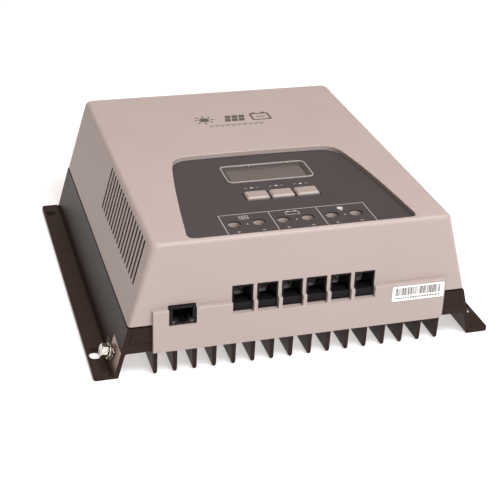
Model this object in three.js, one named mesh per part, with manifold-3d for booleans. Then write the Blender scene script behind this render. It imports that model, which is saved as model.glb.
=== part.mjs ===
import * as THREE from "three";
import { mergeVertices } from "three/addons/utils/BufferGeometryUtils.js";
import Module from "manifold-3d";

const wasm = await Module();
wasm.setup();

// A solar charge controller: a plastic hood on a finned aluminium extrusion with two mounting flanges.
// Millimetres, X to the right, Y to the back, Z up. The origin is on the floor, in the middle of the footprint.

// Driving dimensions
const gap = 0.3; // air between neighbouring pieces
const caseLength = 231.5; // length of the extrusion
const flapProud = 2.7; // the wiring apron stands this far in front of the extrusion
const overallHeight = 85.7;
const flangeHalfWidth = 126.8;
const flangeThickness = 3.6;
const seamHeight = 33.1; // top of the extrusion, where the hood begins
const footHalfWidth = 115.2; // outside of the extrusion's wall where it meets the floor
const wallSlope = 0.2746; // how far the wall leans in for each millimetre of height
const wallThickness = 3.15;
const finPitch = 12;
const finCount = 16;
const finRootThickness = 3;
const finTipRadius = 1.25;
const plateUnderside = 16;
const plateTop = 22;
const hoodTopHalfWidth = 91.9;
const hoodDraft = 1; // lean of the hood's front and back over its height
const hoodWall = 2.6;
const hoodEdgeRadius = 2.5;
const recessDepth = 3.1;
const polePitch = 15.24;
const poleCount = 6;
const rowCentre = 0.5; // X of the middle of the row of terminals
const threadPitch = 1; // terminal screws are M6
const screwTurns = 6; // from open to clamped
const displayCentre = 2.6; // X of the middle of the display
const buttonPitch = 16.15;
const buttonTravel = 1;

const frontFace = -(caseLength - flapProud) / 2;
const backFace = frontFace + caseLength;
const flapFace = frontFace - flapProud;
const hoodBottom = seamHeight + gap;
const faceLevel = overallHeight - recessDepth; // top of the dark faceplate
const wallX = (z) => footHalfWidth - wallSlope * z;

// Materials
function finish(color, roughness, metalness) {
  return new THREE.MeshStandardMaterial({ color, roughness, metalness });
}
const hoodPlastic = finish(0xc9bbb2, 0.55, 0);
const keyPlastic = finish(0xdcd0c8, 0.5, 0);
const anodised = finish(0x3c3330, 0.5, 0.6);
const overlay = finish(0x4c4747, 0.45, 0);
const displayGlass = finish(0x7c766b, 0.15, 0);
const blackPlastic = finish(0x161514, 0.5, 0);
const boardGreen = finish(0x2c5a3a, 0.5, 0);
const platedSteel = finish(0xb9b4ac, 0.3, 1);
const copperTin = finish(0xc4a987, 0.35, 1);
const canSleeve = finish(0x23344a, 0.4, 0);
const ferrite = finish(0x8a7a3a, 0.6, 0);
const labelWhite = finish(0xf4f2ee, 0.7, 0);
const cableGrey = finish(0x8d8d8d, 0.6, 0);

// Solids
function solid(geometry) {
  const flat = geometry.index ? geometry.toNonIndexed() : geometry;
  const bare = new THREE.BufferGeometry();
  bare.setAttribute("position", flat.getAttribute("position"));
  const merged = mergeVertices(bare, 1e-4);
  const vertProperties = merged.getAttribute("position").array;
  const triVerts = new Uint32Array(merged.index.array);
  return new wasm.Manifold(new wasm.Mesh({ numProp: 3, vertProperties, triVerts }));
}

function geometryOf(shape) {
  const mesh = shape.getMesh();
  const geometry = new THREE.BufferGeometry();
  const places = new Float32Array(mesh.vertProperties);
  geometry.setAttribute("position", new THREE.BufferAttribute(places, 3));
  geometry.setIndex(new THREE.BufferAttribute(new Uint32Array(mesh.triVerts), 1));
  geometry.computeVertexNormals();
  return geometry;
}

function joined(...geometries) {
  return geometries.map(solid).reduce((whole, piece) => whole.add(piece));
}

function cut(body, ...tools) {
  return tools.map(solid).reduce((whole, tool) => whole.subtract(tool), body);
}

function box(x0, x1, y0, y1, z0, z1) {
  const geometry = new THREE.BoxGeometry(x1 - x0, y1 - y0, z1 - z0);
  return geometry.translate((x0 + x1) / 2, (y0 + y1) / 2, (z0 + z1) / 2);
}

function rod(radius, z0, z1, x = 0, y = 0, sides = 16, topRadius = radius) {
  const geometry = new THREE.CylinderGeometry(topRadius, radius, z1 - z0, sides);
  return geometry.rotateX(Math.PI / 2).translate(x, y, (z0 + z1) / 2);
}

function outline(points) {
  return new THREE.Shape(points.map(([a, b]) => new THREE.Vector2(a, b)));
}

function roundedRect(x0, x1, y0, y1, r) {
  const shape = new THREE.Shape();
  shape.moveTo(x0 + r, y0);
  shape.absarc(x1 - r, y0 + r, r, -Math.PI / 2, 0);
  shape.absarc(x1 - r, y1 - r, r, 0, Math.PI / 2);
  shape.absarc(x0 + r, y1 - r, r, Math.PI / 2, Math.PI);
  shape.absarc(x0 + r, y0 + r, r, Math.PI, 1.5 * Math.PI);
  return shape;
}

function prismZ(shape, z0, z1, curveSegments = 3) {
  const options = { depth: z1 - z0, bevelEnabled: false, curveSegments };
  return new THREE.ExtrudeGeometry(shape, options).translate(0, 0, z0);
}

// The outline's own x and y become X and Z.
function prismY(shape, y0, y1, curveSegments = 3) {
  return prismZ(shape, 0, y1 - y0, curveSegments).rotateX(Math.PI / 2).translate(0, y1, 0);
}

// The outline's own x and y become Y and Z.
function prismX(shape, x0, x1, curveSegments = 3) {
  const geometry = prismZ(shape, 0, x1 - x0, curveSegments);
  return geometry.rotateX(Math.PI / 2).rotateZ(Math.PI / 2).translate(x0, 0, 0);
}

// An outline raised through a list of levels, each with its height and its scale along X and Y.
function tapered(shape, levels, curveSegments = 3) {
  const steps = levels.length - 1;
  const options = { depth: steps, steps, bevelEnabled: false, curveSegments };
  const geometry = new THREE.ExtrudeGeometry(shape, options);
  const place = geometry.getAttribute("position");
  for (let i = 0; i < place.count; i++) {
    const [z, scaleX, scaleY] = levels[Math.round(place.getZ(i))];
    place.setXYZ(i, place.getX(i) * scaleX, place.getY(i) * scaleY, z);
  }
  return geometry;
}

const controller = new THREE.Group();

function place(name, shape, material, x = 0, y = 0, z = 0, parent = controller) {
  const geometry = shape.isBufferGeometry ? shape : geometryOf(shape);
  const mesh = new THREE.Mesh(geometry, material);
  mesh.name = name;
  mesh.position.set(x, y, z);
  parent.add(mesh);
  return mesh;
}

// Heatsink: one extrusion with a base plate, sixteen fins, leaning side walls and mounting flanges
const slotX = 121.9;
const frontSlotY = -90.3;
const rearSlotY = 103;
const coverScrewX = 97;
const coverScrewY = 100;
const earthBoltY = -100;
const earthBoltZ = 9.7;

function finPoints(x) {
  const tipCentre = gap + finTipRadius;
  const points = [[x + finRootThickness / 2, plateUnderside]];
  for (let step = 0; step <= 4; step++) {
    const angle = (-Math.PI * step) / 4;
    const dx = finTipRadius * Math.cos(angle);
    const dz = finTipRadius * Math.sin(angle);
    points.push([x + dx, tipCentre + dz]);
  }
  points.push([x - finRootThickness / 2, plateUnderside]);
  return points;
}

function extrusionShape() {
  const edge = 1.2; // rounding of the flange's outer edge
  const soft = 0.35; // where the middle of that rounding lies
  const foot = wallX(flangeThickness - 0.5); // a shallow groove runs along the wall's foot
  const half = [
    [wallX(plateTop) - wallThickness, plateTop],
    [wallX(seamHeight) - wallThickness, seamHeight],
    [wallX(seamHeight), seamHeight],
    [foot, flangeThickness - 0.5],
    [foot + 0.7, flangeThickness - 0.5],
    [foot + 1.2, flangeThickness],
    [flangeHalfWidth - edge, flangeThickness],
    [flangeHalfWidth - soft, flangeThickness - soft],
    [flangeHalfWidth, flangeThickness - edge],
    [flangeHalfWidth, edge],
    [flangeHalfWidth - soft, soft],
    [flangeHalfWidth - edge, 0],
    [wallX(0) - wallThickness, 0],
    [wallX(plateUnderside) - wallThickness, plateUnderside],
  ];
  for (let i = finCount / 2 - 1; i >= 0; i--) half.push(...finPoints((i + 0.5) * finPitch));
  const mirrored = half.map(([x, z]) => [-x, z]).reverse();
  return outline([...mirrored, ...half].reverse());
}

// A group whose own Z points straight out of the left wall, with its origin on the wall's outside.
function onLeftWall(y, z) {
  const group = new THREE.Group();
  group.position.set(-wallX(z), y, z);
  group.rotation.set(0, -Math.PI / 2 + Math.atan(wallSlope), 0);
  group.updateMatrixWorld(true);
  return group;
}

function heatsink() {
  const footprint = roundedRect(-flangeHalfWidth, flangeHalfWidth, frontFace, backFace, 2);
  const whole = solid(prismY(extrusionShape(), frontFace, backFace));
  const body = whole.intersect(solid(prismZ(footprint, -1, seamHeight + 1, 2)));
  const holes = [];
  for (const side of [-1, 1]) {
    const x = side * slotX;
    const frontSlot = roundedRect(x - 3.5, x + 3.5, frontSlotY - 6, frontSlotY + 6, 3.4);
    holes.push(prismZ(frontSlot, -1, flangeThickness + 1, 3));
    holes.push(rod(3.5, -1, flangeThickness + 1, x, rearSlotY, 16));
    for (const end of [-1, 1]) {
      holes.push(rod(2.1, plateUnderside - 1, plateTop + 1, side * coverScrewX, end * coverScrewY, 12));
    }
  }
  const wall = onLeftWall(earthBoltY, earthBoltZ);
  holes.push(rod(2.8, -8, 2, 0, 0, 12).applyMatrix4(wall.matrixWorld));
  const patch = onLeftWall(frontFace, 0); // a bare milled pocket under the earth bolt
  const slant = Math.hypot(1, wallSlope);
  const bare = box(1 * slant, 17.6 * slant, -2, 21.9, -0.25, 3);
  holes.push(bare.applyMatrix4(patch.matrixWorld));
  return cut(body, ...holes);
}
place("heatsink", heatsink(), anodised);

// End plates close the space between the base plate and the hood
function endPlateShape() {
  const inner = (z) => wallX(z) - wallThickness - gap;
  const low = plateTop + gap;
  const high = seamHeight - gap;
  return outline([
    [-inner(low), low],
    [inner(low), low],
    [inner(high), high],
    [-inner(high), high],
  ]);
}
const endPlateThickness = 3;
place("front_end_plate", prismY(endPlateShape(), 0, endPlateThickness), anodised, 0, frontFace);
const rearPlateY = backFace - endPlateThickness;
place("rear_end_plate", prismY(endPlateShape(), 0, endPlateThickness), anodised, 0, rearPlateY);

// Hood
const flapHalfWidth = 91.6;
const flapBottom = 15.85;
const flapTop = 43.6;
const ventCount = 17;
const ventPitch = 6.38;
const ventWidth = 3;
const ventFront = -100.6;
const ventBottom = 54.7;
const ventTop = 82.5;
const entryBottom = 36.75;
const entryTop = 54;
const entryWidth = 13;
const jackLeft = -82.3;
const jackRight = -65.7;
const jackBottom = 33.3;
const jackTop = 45.7;
const trayFloor = 81.5; // the faceplate lies on this
const trayUnderside = 79.1;
const wellY = -92.15; // the terminal screws' line
const wellBottom = 69.8;
const buttonY = -57.65;
const buttonHalfX = 7.4;
const buttonHalfY = 4.9;
const displayY = -24.3;
const poleX = (i) => rowCentre + (i - (poleCount - 1) / 2) * polePitch;
const buttonX = (i) => displayCentre - 0.2 + (i - 1) * buttonPitch;

function hoodHalfWidth(z) {
  const lean = (wallX(seamHeight) - hoodTopHalfWidth) / (overallHeight - seamHeight);
  return wallX(seamHeight) - lean * (z - seamHeight);
}

// The hood's outside, or with an inset its inside, from a lower level up to the roof.
function hoodBlock(bottom, inset) {
  const halfLength = caseLength / 2;
  const roof = overallHeight - inset;
  const levels = [0, 30, 60, 90].map((degrees) => {
    const angle = (degrees * Math.PI) / 180;
    return [roof - hoodEdgeRadius * (1 - Math.sin(angle)), hoodEdgeRadius * (1 - Math.cos(angle))];
  });
  const steps = [[bottom, 0], ...levels].map(([z, pulledIn]) => {
    const rise = (z - seamHeight) / (overallHeight - seamHeight);
    const alongX = hoodHalfWidth(z) - inset - pulledIn;
    const alongY = halfLength - hoodDraft * rise - inset - pulledIn;
    return [z, alongX / 100, alongY / 100];
  });
  const geometry = tapered(roundedRect(-100, 100, -100, 100, 2.2 - inset / 4), steps, 3);
  return geometry.translate(0, frontFace + halfLength, 0);
}

// The recess narrows to the back with slightly bowed sides; grow widens it all round.
function recessShape(grow) {
  const front = frontFace + 4.65 - grow;
  const back = 4.35 + grow;
  const shape = new THREE.Shape();
  shape.moveTo(-65.7 - grow, front);
  shape.lineTo(67.3 + grow, front);
  shape.quadraticCurveTo(71.3 + grow, front, 71 + grow, front + 4);
  shape.quadraticCurveTo(66.4 + grow, -36, 59.9 + grow, -8.6 + grow / 2);
  shape.quadraticCurveTo(57.1 + grow, back - 0.4, 44.5 + grow, back - 0.7);
  shape.quadraticCurveTo(1, back + 0.7, -41 - grow, back - 0.7);
  shape.quadraticCurveTo(-53.5 - grow, back - 0.4, -55.9 - grow, -8.6 + grow / 2);
  shape.quadraticCurveTo(-62 - grow, -36, -69.4 - grow, front + 4);
  shape.quadraticCurveTo(-69.7 - grow, front, -65.7 - grow, front);
  return shape;
}

function topCover() {
  const shell = cut(solid(hoodBlock(hoodBottom, 0)), hoodBlock(hoodBottom - 5, hoodWall));
  const additions = [
    prismZ(recessShape(2.4), trayUnderside, overallHeight - 1.7, 4),
    prismY(roundedRect(-flapHalfWidth, flapHalfWidth, flapBottom, flapTop, 1), flapFace, frontFace - gap, 2),
    box(-flapHalfWidth, flapHalfWidth, flapFace + 1, frontFace + 2, hoodBottom, flapTop - 0.5),
  ];
  for (const side of [-1, 1]) {
    for (const end of [-1, 1]) {
      additions.push(rod(4, plateTop + gap, 50, side * coverScrewX, end * coverScrewY, 12));
    }
  }
  for (let i = 0; i < poleCount; i++) additions.push(rod(5.2, wellBottom, trayUnderside + 1, poleX(i), wellY));
  for (const x of [-33.2, 37.9]) {
    for (const y of [-65, -9]) additions.push(rod(2.2, 73.4, trayUnderside + 1, x, y, 8));
  }
  const whole = additions.map(solid).reduce((sum, piece) => sum.add(piece), shell);
  const holes = [
    prismZ(recessShape(0), trayFloor, overallHeight + 5, 4),
    box(jackLeft, jackRight, flapFace - 1, frontFace + 6, jackBottom, jackTop),
    box(56.2, 91.3, flapFace - 1, flapFace + 0.4, 31.4, 42.4),
    box(displayCentre - 27, displayCentre + 27, displayY - 10.8, displayY + 10.8, 70, 90),
    box(buttonX(0) - 7.9, buttonX(2) + 7.9, buttonY - 5.3, buttonY + 5.3, 70, 90),
  ];
  for (let i = 0; i < poleCount; i++) {
    const x = poleX(i);
    holes.push(box(x - entryWidth / 2, x + entryWidth / 2, flapFace - 1, frontFace + 6, entryBottom, entryTop));
    holes.push(rod(3.6, wellBottom - 1, trayFloor + 1, x, wellY, 16, 4));
  }
  for (let i = 0; i < ventCount; i++) {
    const y = ventFront + i * ventPitch;
    for (const side of [-1, 1]) {
      const near = side < 0 ? -110 : 84;
      holes.push(box(near, near + 26, y - ventWidth / 2, y + ventWidth / 2, ventBottom, ventTop));
    }
  }
  for (const side of [-1, 1]) {
    for (const end of [-1, 1]) {
      holes.push(rod(2, plateTop, 44, side * coverScrewX, end * coverScrewY, 10));
    }
  }
  return cut(whole, ...holes);
}
place("top_cover", topCover(), hoodPlastic);

for (let i = 0; i < 4; i++) {
  const side = i % 2 ? 1 : -1;
  const end = i < 2 ? -1 : 1;
  const screw = joined(rod(1.7, -0.5, 24, 0, 0, 10), rod(3.4, -3, -0.3, 0, 0, 12));
  place(`cover_screw_${i + 1}`, screw, platedSteel, side * coverScrewX, end * coverScrewY, plateUnderside);
}

// Faceplate with its display and keys
const frameHalfX = 29;
const frameHalfY = 12.8;
const frameWidth = 1.1;

function displayOutline(inset, radius) {
  const x = frameHalfX - inset;
  const y = frameHalfY - inset;
  return roundedRect(-x, x, -y, y, radius);
}

function faceplate() {
  const sheet = solid(prismZ(recessShape(-gap), trayFloor + gap, faceLevel, 4));
  const window = prismZ(displayOutline(-gap, 4.2), 80, 90).translate(displayCentre, displayY, 0);
  const keys = box(buttonX(0) - 8, buttonX(2) + 8, buttonY - 5.5, buttonY + 5.5, 80, 90);
  const wells = [];
  for (let i = 0; i < poleCount; i++) wells.push(rod(4, 80, 90, poleX(i), wellY, 20));
  return cut(sheet, window, keys, ...wells);
}
place("faceplate", faceplate(), overlay);

const frame = cut(
  solid(prismZ(displayOutline(0, 4), 0, 1.4)),
  prismZ(displayOutline(frameWidth, 2.6), -1, 3),
);
place("display_frame", frame, keyPlastic, displayCentre, displayY, trayFloor + gap);
const pane = prismZ(displayOutline(frameWidth + gap, 2.4), 0, 1);
place("display_window", pane, displayGlass, displayCentre, displayY, trayFloor + gap);
const lcd = joined(box(-32, 32, -15, 15, 0, 5.4), box(-26.7, 26.7, -10.5, 10.5, 5, 7.8));
place("lcd_module", lcd, displayGlass, displayCentre, displayY, 73.4);
place("display_board", box(-38, 38, -31, 31, -1.6, 0), boardGreen, displayCentre - 0.2, -37, 73.1);

const boardTop = 73.4;
["left", "middle", "right"].forEach((side, i) => {
  const cap = tapered(roundedRect(-buttonHalfX, buttonHalfX, -buttonHalfY, buttonHalfY, 0.8), [
    [78.7, 1, 1],
    [83.4, 1, 1],
    [84.3, 1 - 1.1 / buttonHalfX, 1 - 1.1 / buttonHalfY],
  ], 2);
  const lip = box(-buttonHalfX, buttonHalfX, -buttonHalfY - 1.2, buttonHalfY + 1.2, 77.4, 78.8);
  const pusher = rod(1.6, 75.7, 77.5, 0, 0, 10);
  place(`button_${side}`, joined(cap, lip, pusher), keyPlastic, buttonX(i), buttonY);
  const body = cut(solid(box(-3.1, 3.1, -3.1, 3.1, 0, 2.5)), rod(1.9, 2.3 - buttonTravel - 0.3, 4, 0, 0, 10));
  place(`button_switch_${side}`, body, blackPlastic, buttonX(i), buttonY, boardTop);
});

// Main board on four pillars, with a ribbon up to the display board
const mainTop = 33.2;
const partsBase = mainTop + gap;
place("main_board", box(-92, 92, -108.5, 108.5, -1.6, 0), boardGreen, 0, 0, mainTop);
for (let i = 0; i < 4; i++) {
  const x = i % 2 ? 84 : -84;
  const y = i < 2 ? -98 : 98;
  place(`board_pillar_${i + 1}`, rod(3.6, plateTop + gap, 31.3, 0, 0, 6), platedSteel, x, y);
}

function ribbon() {
  const path = new THREE.CatmullRomCurve3([
    new THREE.Vector3(0, -10, 67),
    new THREE.Vector3(0, -3, 67),
    new THREE.Vector3(0, 6, 62),
    new THREE.Vector3(0, 8, 52),
    new THREE.Vector3(0, 6, 44),
    new THREE.Vector3(0, 6, 37),
  ]);
  const near = [];
  const far = [];
  for (let i = 0; i <= 12; i++) {
    const at = path.getPoint(i / 12);
    const along = path.getTangent(i / 12);
    near.push([at.y + along.z / 2, at.z - along.y / 2]);
    far.push([at.y - along.z / 2, at.z + along.y / 2]);
  }
  const band = prismX(outline([...near, ...far.reverse()]), -10, 10);
  return joined(band, box(-12, 12, -12.5, -7.5, 64.2, 71.2), box(-12, 12, 3.5, 8.5, partsBase, 39.5));
}
place("ribbon_cable", ribbon(), cableGrey, displayCentre, 0, 0);

// Wiring terminals: a moulded block, and a rising cage, a contact and a screw in each pole
const blockFront = frontFace + 4.2;
const blockBack = -84;
const blockTop = 69.5;
const collarFront = frontFace + 0.2; // the collars fill the entries, flush with the hood
const sillHeight = 42.4;
const sillBack = -106.5;
const cageDrop = { bottom: 38, openBottom: 40, openTop: 54.5, top: 58 };
const cageTravel = screwTurns * threadPitch;
const headBottom = cageDrop.top + cageTravel + 0.4;

function terminalBlock() {
  const halfWidth = (poleCount * polePitch + 1.2) / 2;
  let body = solid(box(rowCentre - halfWidth, rowCentre + halfWidth, blockFront, blockBack, partsBase, blockTop));
  const holes = [];
  for (let i = 0; i < poleCount; i++) {
    const x = poleX(i);
    const collar = entryWidth / 2 - gap;
    const collarBottom = entryBottom + gap;
    const collarTop = entryTop - gap;
    body = body.add(solid(box(x - collar, x + collar, collarFront, blockFront + 1, collarBottom, collarTop)));
    const tunnel = outline([
      [collarFront - 1, sillHeight],
      [sillBack, sillHeight],
      [sillBack, cageDrop.bottom - 0.6],
      [wellY, cageDrop.bottom - 0.6],
      [wellY, 52.5],
      [collarFront - 1, 53.1],
    ]);
    holes.push(prismX(tunnel, x - 5.4, x + 5.4));
    holes.push(box(x - 6, x + 6, wellY - 5.35, wellY + 5.35, cageDrop.bottom - 0.6, headBottom - 0.2));
    holes.push(rod(3.8, headBottom - 1, blockTop + 1, x, wellY, 16));
    holes.push(box(x - 4.3, x + 4.3, wellY, blockBack + 1, 50.4, 53.2));
  }
  return cut(body, ...holes);
}
place("terminal_block", terminalBlock(), blackPlastic);

function terminalCage() {
  const { bottom, openBottom, openTop, top } = cageDrop;
  const body = solid(box(-5.6, 5.6, -5, 5, bottom, top));
  return cut(body, box(-4.3, 4.3, -6, 6, openBottom, openTop), rod(3.3, openTop - 1, top + 1, 0, 0, 12));
}

function terminalContact() {
  const arm = box(-3.9, 3.9, wellY - 4.6, -81, 50.8, 52.8);
  return joined(arm, box(-3.9, 3.9, -83, -81, partsBase, 52.8));
}

function terminalScrew() {
  const shank = rod(3, 53.1, headBottom + 0.5, 0, 0, 12);
  const head = rod(3.5, headBottom, headBottom + 4, 0, 0, 16);
  return cut(joined(shank, head), box(-4, 4, -0.5, 0.5, headBottom + 2.4, headBottom + 5));
}

for (let i = 0; i < poleCount; i++) {
  place(`terminal_cage_${i + 1}`, terminalCage(), platedSteel, poleX(i), wellY);
  place(`terminal_contact_${i + 1}`, terminalContact(), copperTin, poleX(i));
  place(`terminal_screw_${i + 1}`, terminalScrew(), platedSteel, poleX(i), wellY);
}

// Network socket with its keyed opening
function networkSocket() {
  const left = jackLeft + gap;
  const right = jackRight - gap;
  const top = jackTop - gap;
  const middle = (left + right) / 2;
  const body = joined(
    box(left, right, flapFace + 0.8, -97, jackBottom + gap, top),
    box(left, right, -108, -97, partsBase, top - 1),
  );
  return cut(
    body,
    box(middle - 5.95, middle + 5.95, flapFace - 1, -102, 37.3, 44.1),
    box(middle - 3.1, middle + 3.1, flapFace - 1, -102, 34.7, 37.6),
  );
}
place("network_socket", networkSocket(), blackPlastic);

// Power parts on the main board and on the base plate
function ringCore(outer, inner, height) {
  const round = 3;
  const points = [
    [inner, round],
    [inner + round, 0],
    [outer - round, 0],
    [outer, round],
    [outer, height - round],
    [outer - round, height],
    [inner + round, height],
    [inner, height - round],
    [inner, round],
  ].map(([r, z]) => new THREE.Vector2(r, z));
  return new THREE.LatheGeometry(points, 20).rotateX(Math.PI / 2);
}
place("choke_left", ringCore(24, 9, 24), ferrite, -50, 66, partsBase);
place("choke_right", ringCore(24, 9, 24), ferrite, 6, 66, partsBase);
for (let i = 0; i < 3; i++) {
  place(`capacitor_${i + 1}`, rod(11, 0, 36, 0, 0, 18), canSleeve, 76, -38 + i * 27, partsBase);
}
place("fuse", box(-9.6, 9.6, -2.6, 2.6, 0, 12.5), ferrite, 62, 88, partsBase);
for (let i = 0; i < 4; i++) {
  const y = -50 + i * 26;
  const transistor = joined(box(-10.5, 10.5, -7.9, 7.9, 0, 5), box(10, 16, -6.2, 6.2, 2, 3));
  place(`power_transistor_${i + 1}`, transistor, blackPlastic, -72, y, plateTop + gap);
}
place("clamp_bar", box(-5, 5, -50, 50, 0, 3), platedSteel, -76, -11, plateTop + 2 * gap + 5);

// Earth bolt with its washers, square to the left wall
const earthing = onLeftWall(earthBoltY, earthBoltZ);
controller.add(earthing);
const bolt = joined(rod(2.45, -6, 5, 0, 0, 12), rod(4.55, 4, 7.7, 0, 0, 6));
place("earth_bolt", bolt, platedSteel, 0, 0, 0, earthing);
const toothed = cut(solid(rod(5, 0.5, 1.9, 0, 0, 20)), rod(2.75, 0, 3, 0, 0, 12));
place("earth_lock_washer", toothed, platedSteel, 0, 0, 0, earthing);
const plain = cut(solid(rod(5, 2.3, 3.3, 0, 0, 20)), rod(2.75, 0, 4, 0, 0, 12));
place("earth_flat_washer", plain, platedSteel, 0, 0, 0, earthing);

// Paper label let into the apron
place("barcode_label", box(-17.2, 17.2, 0, 0.15, -5.2, 5.2), labelWhite, 73.75, flapFace, 36.9);

export default controller;
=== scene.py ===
import math
import random

import bmesh
import bpy
from mathutils import Matrix, Vector


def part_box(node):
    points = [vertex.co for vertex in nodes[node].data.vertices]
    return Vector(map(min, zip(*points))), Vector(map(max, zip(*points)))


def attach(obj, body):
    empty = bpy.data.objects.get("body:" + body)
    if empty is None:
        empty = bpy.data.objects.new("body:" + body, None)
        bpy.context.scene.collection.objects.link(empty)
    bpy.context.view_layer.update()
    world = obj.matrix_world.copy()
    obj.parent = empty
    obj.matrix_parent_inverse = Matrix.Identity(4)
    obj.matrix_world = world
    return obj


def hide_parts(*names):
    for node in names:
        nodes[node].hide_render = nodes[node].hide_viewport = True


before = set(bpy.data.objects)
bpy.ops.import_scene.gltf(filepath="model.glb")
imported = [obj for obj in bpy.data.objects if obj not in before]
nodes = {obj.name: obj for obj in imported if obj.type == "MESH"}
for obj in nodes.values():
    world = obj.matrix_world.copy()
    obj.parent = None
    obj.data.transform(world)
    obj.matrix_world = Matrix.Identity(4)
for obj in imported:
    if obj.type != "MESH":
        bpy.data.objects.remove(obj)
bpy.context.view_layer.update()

scene = bpy.context.scene
mm = 0.001


def span(node):
    # a CAD node's lowest and highest corners, in millimetres
    low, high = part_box(node)
    return low / mm, high / mm


def middleOf(low, high):
    return (low.x + high.x) / 2, (low.y + high.y) / 2


# shader helpers

def tint(red, green, blue):
    # screen values 0-255 to the linear colour that a shader takes
    def linear(value):
        value = value / 255
        return value / 12.92 if value <= 0.04045 else ((value + 0.055) / 1.055) ** 2.4
    return (linear(red), linear(green), linear(blue), 1.0)


class Wire:
    # an output socket that can be used in sums
    def __init__(self, paint, socket):
        self.paint = paint
        self.socket = socket

    def __add__(self, other):
        return self.paint.maths("ADD", self, other)

    def __radd__(self, other):
        return self.paint.maths("ADD", other, self)

    def __sub__(self, other):
        return self.paint.maths("SUBTRACT", self, other)

    def __rsub__(self, other):
        return self.paint.maths("SUBTRACT", other, self)

    def __mul__(self, other):
        return self.paint.maths("MULTIPLY", self, other)

    def __rmul__(self, other):
        return self.paint.maths("MULTIPLY", other, self)


class Paint:
    # a material with one Principled shader; its constants go on the shader's own sockets
    def __init__(self, name, constants):
        self.material = bpy.data.materials.new(name)
        self.material.use_nodes = True
        self.tree = self.material.node_tree
        self.tree.nodes.clear()
        output = self.tree.nodes.new("ShaderNodeOutputMaterial")
        self.shader = self.tree.nodes.new("ShaderNodeBsdfPrincipled")
        self.tree.links.new(self.shader.outputs[0], output.inputs["Surface"])
        for socket, value in constants.items():
            self.shader.inputs[socket].default_value = value
        self.place = self.node("ShaderNodeTexCoord", {}, {}, "Object")

    def node(self, kind, settings, values, output=0):
        made = self.tree.nodes.new(kind)
        for setting, value in settings.items():
            if setting == "stops":
                self.setStops(made.color_ramp, value)
            else:
                setattr(made, setting, value)
        for socket, value in values.items():
            self.feed(made.inputs[socket], value)
        return Wire(self, made.outputs[output])

    def setStops(self, ramp, stops):
        while len(ramp.elements) < len(stops):
            ramp.elements.new(1.0)
        for element, (position, level) in zip(ramp.elements, stops):
            element.position = position
            element.color = (level, level, level, 1.0)

    def feed(self, socket, value):
        if isinstance(value, Wire):
            self.tree.links.new(value.socket, socket)
        else:
            socket.default_value = value

    def maths(self, operation, first, second):
        return self.node("ShaderNodeMath", {"operation": operation}, {0: first, 1: second})

    def scaled(self, factors):
        # the object's coordinates, stretched along each axis
        return self.node("ShaderNodeVectorMath", {"operation": "MULTIPLY"},
                         {0: self.place, 1: factors})

    def noise(self, size, detail=3, stretch=(1, 1, 1)):
        # size is that of the largest grains, in millimetres
        values = {"Vector": self.scaled(stretch), "Scale": 1 / (size * mm), "Detail": detail}
        return self.node("ShaderNodeTexNoise", {}, values)

    def grains(self, size):
        values = {"Vector": self.place, "Scale": 1 / (size * mm)}
        return self.node("ShaderNodeTexVoronoi", {"feature": "F1"}, values, "Distance")

    def ramp(self, source, stops):
        return self.node("ShaderNodeValToRGB", {"stops": stops}, {"Fac": source})

    def blend(self, factor, first, second):
        # Mix's colour sockets are its inputs 6 and 7, and its colour output is the third
        return self.node("ShaderNodeMix", {"data_type": "RGBA"}, {0: factor, 6: first, 7: second}, 2)

    def relief(self, height, depth):
        values = {"Height": height, "Strength": 1.0, "Distance": depth * mm}
        return self.node("ShaderNodeBump", {}, values)

    def finish(self, varying):
        for socket, value in varying.items():
            self.feed(self.shader.inputs[socket], value)
        return self.material


# materials

hoodPaint = {"light": (171, 156, 150), "dark": (163, 148, 141), "rough": 0.46, "grain": 0.55,
             "depth": 0.035}


def mouldedPlastic(name, look):
    paint = Paint(name, {"Specular IOR Level": look.get("shine", 0.42)})
    clouds = paint.noise(38, 2)
    grain = paint.noise(look["grain"], 2)
    speck = paint.grains(look["grain"] * 1.6)
    colour = paint.blend(clouds * 0.7 + grain * 0.3, tint(*look["dark"]), tint(*look["light"]))
    return paint.finish({
        "Base Color": colour,
        "Roughness": look["rough"] - 0.05 + clouds * 0.06 + grain * 0.05,
        "Normal": paint.relief(grain * 0.7 + speck * 0.5, look["depth"]),
    })


hoodPlastic = mouldedPlastic("hoodPlastic", hoodPaint)
# painted shade: a darker copy of the hood plastic for the vent slot walls, standing in for the shade inside
# the slots
slotShadePlastic = mouldedPlastic("slotShadePlastic", {"light": (84, 73, 68), "dark": (74, 64, 59), "rough": 0.7,
                                             "grain": 0.55, "depth": 0.03})
keyPlastic = mouldedPlastic("keyPlastic", {"light": (156, 142, 136), "dark": (147, 133, 126),
                                           "rough": 0.38, "grain": 0.35, "depth": 0.008})
blackPlastic = mouldedPlastic("blackPlastic", {"light": (24, 21, 20), "dark": (14, 12, 12),
                                               "rough": 0.42, "grain": 0.4, "depth": 0.02, "shine": 0.16})
overlayFilm = mouldedPlastic("overlayFilm", {"light": (62, 54, 54), "dark": (54, 47, 47),
                                             "rough": 0.55, "grain": 0.25, "depth": 0.012, "shine": 0.3})
bezelPlastic = mouldedPlastic("bezelPlastic", {"light": (154, 142, 138), "dark": (146, 133, 129),
                                               "rough": 0.4, "grain": 0.35, "depth": 0.008})

anodisedLook = {"light": (51, 35, 29), "dark": (36, 24, 19), "rough": 0.45, "drawLines": 0.5}


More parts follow.
